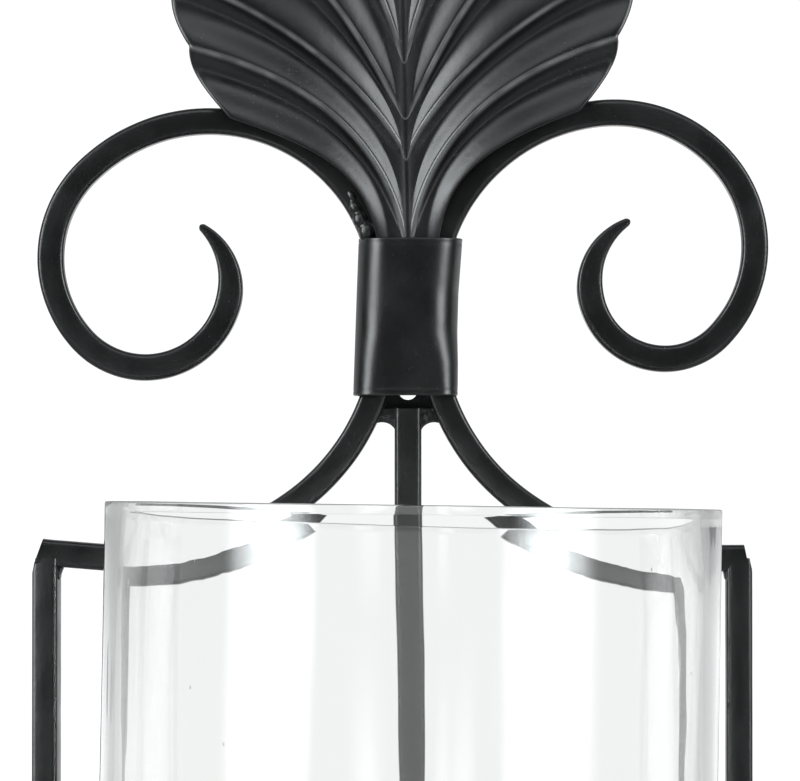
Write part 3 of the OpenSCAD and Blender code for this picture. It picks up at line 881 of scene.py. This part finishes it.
pan_rim = 6.0
pan_sheet = pan_high.z - pan_rim - pan_low.z
floor_z = pan_low.z + pan_sheet
floor_r = pan_r - pan_sheet * math.tan(math.radians(22.5)) - pan_rim
slant = pan_r - floor_r - pan_rim
floor_steps = [(r, floor_z) for r in np.linspace(floor_r, 2.3, 14)]
under_steps = [(r, pan_low.z) for r in np.linspace(2.3, floor_r + slant, 14)]
pan_profile = ([(pan_r, pan_high.z - pan_sheet), (pan_r - 0.03, pan_high.z - 0.35),
                (pan_r - 0.25, pan_high.z - 0.04), (pan_r - slant - 0.1, pan_high.z - 0.06),
                (pan_r - slant - 0.5, pan_high.z - 0.45)]
               + [(floor_r + 0.9, floor_z + 0.85), (floor_r + 0.35, floor_z + 0.25)] + floor_steps[1:]
               + under_steps[:-1] + [(floor_r + slant + 0.1, pan_low.z + 0.12)])
corners, faces = turned(pan_profile, 144)
placed(outward(piece("spun_pan", corners, faces, sheet_paint)), "frame", "black_sheet", "drip_pan")

# %% The candle spike
spike_low, spike_high = (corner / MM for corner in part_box("candle_spike"))
flange_r = (spike_high.x - spike_low.x) / 2
shank_r = 2.0
spike_profile = softened([(0.02, spike_low.z), (shank_r, spike_low.z), (shank_r, floor_z),
                          (flange_r, floor_z), (flange_r, floor_z + 1.5), (shank_r, floor_z + 1.5),
                          (shank_r, floor_z + 11.5), (0.3, spike_high.z), (0.02, spike_high.z)], 0.3)
corners, faces = turned(spike_profile, 40)
placed(outward(piece("turned_spike", corners, faces, iron_paint)), "frame", "black_iron", "candle_spike")

# %% [markdown]
# ## The pan's arm
# The arm is the same square bar again, bent hot at one corner, so the same tree
# makes it: only its flat side now faces right instead of forward. Its pad is
# a disc that was forged out of the end.

# %% Arm and pad
arm_low, arm_high = (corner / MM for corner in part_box("pan_arm"))
bend_r = 2 * bar
bend_y, bend_z = front_y - bar / 2 - bend_r, arm_high.z - bar / 2 - bend_r
leg = [(0, front_y - bar / 2, z) for z in np.linspace(arm_low.z, bend_z, 24)]
bend = [(0, bend_y + bend_r * math.cos(a), bend_z + bend_r * math.sin(a))
        for a in np.radians(np.linspace(0, 90, 24))[1:]]
reach = [(0, y, arm_high.z - bar / 2) for y in np.linspace(bend_y, pan_y + 8, 30)[1:]]
arm_points = np.array(leg + bend + reach)
arm = forged("forged_arm", arm_points, np.ones(len(arm_points)), np.zeros(len(arm_points)),
             {"Flat side": (1.0, 0.0, 0.0)})
pad_bore, pad_r, pad_t = 2.3, 9.0, 3
pad_profile = softened([(pad_bore, arm_high.z - pad_t), (pad_r, arm_high.z - pad_t),
                        (pad_r, arm_high.z), (pad_bore, arm_high.z)], 0.5)
corners, faces = turned(pad_profile, 64)
pad = outward(piece("arm_pad", corners, faces, iron_paint))
build = bmesh.new()
build.from_mesh(arm.data)
build.from_mesh(pad.data)
build.to_mesh(arm.data)
build.free()
bpy.data.objects.remove(pad)
placed(arm, "frame", "black_iron", "pan_arm")

# %% [markdown]
# ## Small hardware that the drawing already has right
# The hanger plate, the washer and the nut are plain enough to keep from the
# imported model, and take only a finish.

# %% Finishes for the kept nodes
for node, finish in (("hanger_plate", sheet_paint), ("spike_washer", zinc_plate),
                     ("spike_nut", zinc_plate)):
    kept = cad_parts[node]
    kept.data.materials.clear()
    kept.data.materials.append(finish)
    print(node, "keeps its drawn shape, in", finish.name)

# %% [markdown]
# ## The chimney
# The chimney is a length of drawn tube, cut across and its edges eased. The draw
# leaves long shallow waves down the wall, different inside and out, so the two
# skins are made separately and joined at the cut rims. The waves only go
# into the wall, which keeps the tube in its nominal size. The wall swells
# inwards by about a millimetre towards the upper rim, so what is behind it looks
# lowered. The tube leans a degree, and the cut slopes the same way.

# %% Two wavy skins and two cut rims
glass_low, glass_high = (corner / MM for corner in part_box("glass_chimney"))
glass_r = (glass_high.x - glass_low.x) / 2
glass_wall = 3.2
glass_shift, glass_lean = 1.0, 0.018


def wave(a, z, salt, depth):
    slow = noise.noise(Vector((math.cos(a) * 2.2 + salt, math.sin(a) * 2.2, z * 0.012)))
    quick = noise.noise(Vector((math.cos(a) * 7 + salt, math.sin(a) * 7, z * 0.022)))
    return depth * (0.5 + 0.5 * slow + 0.16 * quick)


rim_zone, rim_swell = 26.0, 1.15
rim_drop, eased = 1.7, 0.4


def eased_corner(r, z, way, up, turn):
    """An arc round a cut's corner at [r, z], inwards for way 1 or -1, up or down."""
    return [(r + way * eased * (1 - math.sin(b)), z + up * eased * math.cos(b)) for b in np.radians(turn)]


def chimney():
    segments = 240
    share = np.linspace(0, 1, 84)
    corners = []
    for s in range(segments):
        a = 2 * math.pi * s / segments
        top = glass_high.z - rim_drop * (0.5 + 0.5 * math.cos(a)) - 0.12 * (1 + noise.noise(
            Vector((math.cos(a) * 1.7, math.sin(a) * 1.7, 4.0))))
        heights = glass_low.z + eased + share * (top - glass_low.z - 2 * eased)
        near_rim = np.clip(1 - (top - heights) / rim_zone, 0, 1)
        swell = rim_swell * (1.0 + 0.25 * math.cos(a)) * near_rim ** 2
        outer = [(glass_r - max(0.0, wave(a, z, 3.0, 0.30)), z) for z in heights]
        inner = [(glass_r - glass_wall - extra + max(0.0, wave(a, z, 9.0, 0.30)), z)
                 for z, extra in zip(heights, swell)]
        over = (eased_corner(*outer[-1], -1, 1, (90, 60, 30, 0))
                + eased_corner(*inner[-1], 1, 1, (0, 30, 60, 90)))
        under = (eased_corner(*inner[0], 1, -1, (90, 60, 30, 0))
                 + eased_corner(*outer[0], -1, -1, (0, 30, 60, 90)))
        loop = outer[:-1] + over + inner[-2:0:-1] + under[:-1]
        corners += [[r * math.cos(a), pan_y + r * math.sin(a), z] for r, z in loop]
        count = len(loop)
    corners = np.array(corners)
    corners[:, 0] += glass_shift + glass_lean * (corners[:, 2] - glass_high.z)
    return outward(piece("drawn_chimney", corners, spun_faces(count, segments), clear_glass))


placed(chimney(), "chimney", "clear_glass", "glass_chimney")

# %% [markdown]
# ## Seeds
# Old-style glass holds small bubbles, called seeds, drawn out along the tube.
# They are real hollows here: small closed skins inside the wall whose shader is
# glass the other way round, from glass to air. They are scattered over the
# middle of the wall with Geometry Nodes, with a fixed seed.

# %% The tree that scatters seeds
def seed_tree():
    group = bpy.data.node_groups.new("glass_seeds", "GeometryNodeTree")
    face = group.interface
    face.new_socket("Wall", in_out="INPUT", socket_type="NodeSocketGeometry")
    for name, value in (("Per square metre", 900.0), ("Smallest", 0.10 * MM), ("Largest", 0.20 * MM)):
        face.new_socket(name, in_out="INPUT", socket_type="NodeSocketFloat").default_value = value
    face.new_socket("Finish", in_out="INPUT", socket_type="NodeSocketMaterial")
    face.new_socket("Seeds", in_out="OUTPUT", socket_type="NodeSocketGeometry")
    tree = Tree(group)
    given = group.nodes.new("NodeGroupInput")
    inputs = {s.name: Value(tree, s) for s in given.outputs if s.name}
    spots = tree.node("GeometryNodeDistributePointsOnFaces", {"distribute_method": "RANDOM"}, {
        "Mesh": inputs["Wall"], "Density": inputs["Per square metre"], "Seed": 7})
    ball = tree.node("GeometryNodeMeshIcoSphere", sockets={"Radius": 1.0, "Subdivisions": 2})
    size = tree.node("FunctionNodeRandomValue", {"data_type": "FLOAT"}, {
        2: inputs["Smallest"], 3: inputs["Largest"], "Seed": 5}, out=1)
    drawn = tree.node("ShaderNodeCombineXYZ", sockets={0: size, 1: size, 2: size * 1.9})
    there = tree.node("GeometryNodeInstanceOnPoints", sockets={
        "Points": spots, "Instance": ball, "Scale": drawn})
    real = tree.node("GeometryNodeRealizeInstances", sockets={"Geometry": there})
    soft = tree.node("GeometryNodeSetShadeSmooth", sockets={"Geometry": real, "Shade Smooth": True})
    done = tree.node("GeometryNodeSetMaterial", sockets={"Geometry": soft, "Material": inputs["Finish"]})
    out = group.nodes.new("NodeGroupOutput")
    group.links.new(done.socket, out.inputs[0])
    return group


seed_group = seed_tree()
middle_r = glass_r - glass_wall / 2
wall_corners, wall_faces = [], []
for s in range(96):
    a = 2 * math.pi * s / 96
    for z in (glass_low.z + 6, glass_high.z - 6):
        wall_corners.append([middle_r * math.cos(a) + glass_shift + glass_lean * (z - glass_high.z),
                             pan_y + middle_r * math.sin(a), z])
    wall_faces.append([2 * s, 2 * ((s + 1) % 96), 2 * ((s + 1) % 96) + 1, 2 * s + 1])
seeds = piece("glass_seeds", wall_corners, wall_faces, seed_air)
placed(ran(seeds, seed_group, {"Finish": seed_air}), "chimney", "clear_glass")

# %% [markdown]
# ## Light
# Iron like this is lit in a white studio: a white sweep behind, large soft boxes
# at the sides, and darker surroundings towards the camera, so that black paint
# stays black. The world is white only where it is looked at directly or through
# the glass; what the paint reflects is a dimmer room. Beside the white sweep
# stand two grey flags, seen only through the glass, which draw the glass's edges.

# %% World
world = bpy.data.worlds.new("studio")
bpy.context.scene.world = world
world.use_nodes = True
room = Tree(world.node_tree)
seen = room.node("ShaderNodeLightPath")
_, way_y, way_z = room.parts(room.node("ShaderNodeTexCoord"))
back, up = room.between(way_y, -0.05, 0.45), room.between(way_z, -0.1, 0.85)
inner_edge, outer_edge = room.between(way_y, 0.93, 0.985), room.between(way_y, 0.70, 0.80)
straight = (1 - inner_edge) * outer_edge * -0.46 + 0.975
low = room.node("ShaderNodeMapRange", sockets={
    "Value": way_z, "From Min": 0.0, "From Max": -0.03})
around = back * (low * 0.8 + 0.5) + up * 0.18 + 0.035
through = room.node("ShaderNodeLightPath", out=6)
indirect = around * (1 - through) + straight * through
strength = indirect * (1 - seen) + seen * 1.08
warmth = room.between(way_z, -0.6, 0.1)
tint = room.node("ShaderNodeMix", {"data_type": "RGBA"}, {
    "Factor": warmth, 6: [1.0, 0.90, 0.84, 1.0], 7: [0.95, 0.98, 1.0, 1.0]}, out=2)
shade = room.node("ShaderNodeMix", {"data_type": "RGBA"}, {
    "Factor": seen + through, 6: tint, 7: [1.0, 1.0, 1.0, 1.0]}, out=2)
background = world.node_tree.nodes["Background"]
world.node_tree.links.new(shade.socket, background.inputs["Color"])
world.node_tree.links.new(strength.socket, background.inputs["Strength"])
print("world ready")

# %% Soft boxes
def soft_box(name, place, aim, size, power):
    light = bpy.data.lights.new(name, "AREA")
    light.shape = "RECTANGLE"
    light.size, light.size_y = size
    light.energy = power
    light.color = (0.94, 0.98, 1.0)
    light.use_nodes = True
    tree = Tree(light.node_tree)
    u, v, _ = tree.parts(tree.node("ShaderNodeNewGeometry", out=5))
    cloth = (u * (1 - u)) * (v * (1 - v)) * 16
    faded = tree.between(cloth, 0.0, 0.95)
    light.node_tree.links.new(faded.socket, light.node_tree.nodes["Emission"].inputs["Strength"])
    thing = linked(name, light)
    thing.location = place
    thing.rotation_euler = (Vector(aim) - Vector(place)).to_track_quat("-Z", "Y").to_euler()


soft_box("box_left", (-1.0, -0.80, 0.35), (0, 0, 0.2), (0.86, 1.5), 41.0)
soft_box("box_right", (1.0, -0.76, 0.35), (0, 0, 0.2), (0.80, 1.4), 34.0)
soft_box("box_top", (0.0, -1.0, 0.74), (0, 0, 0.02), (1.3, 0.5), 4.4)
soft_box("strip_left", (-0.30, -1.35, -0.37), (0, -0.1, -0.1), (0.21, 0.60), 1.3)
soft_box("strip_right", (0.42, -1.32, -0.37), (0, -0.1, -0.1), (0.25, 0.60), 1.3)
print("three soft boxes and two narrow strips")

# %% Floor and camera
floor = bpy.data.meshes.new("floor")
floor.from_pydata([(-4, -4, -1.6), (4, -4, -1.6), (4, 4, -1.6), (-4, 4, -1.6)], [], [[0, 1, 2, 3]])
pale = bpy.data.materials.new("pale_floor")
pale.use_nodes = True
pale.node_tree.nodes["Principled BSDF"].inputs["Base Color"].default_value = (0.86, 0.86, 0.86, 1.0)
pale.node_tree.nodes["Principled BSDF"].inputs["Roughness"].default_value = 0.9
floor.materials.append(pale)
ground = linked("floor", floor)

lens = bpy.data.cameras.new("camera")
camera = linked("camera", lens)
bpy.context.scene.camera = camera
lens.sensor_width = 36.0
distance, view_width, left_of_nail, below, aim_rise = 1.2, 0.176, 0.00176, 0.0253, 0.0252
to_bars = distance + bar_middle_y * MM
lens.lens = lens.sensor_width * to_bars / view_width
camera.location = (-left_of_nail, -distance, -below)
camera.rotation_euler = (math.radians(90) + math.atan2(aim_rise, to_bars), 0.0, 0.0)
bpy.context.scene.view_settings.view_transform = "Standard"
print(f"camera {distance} m in front, lens {lens.lens:.0f} mm")
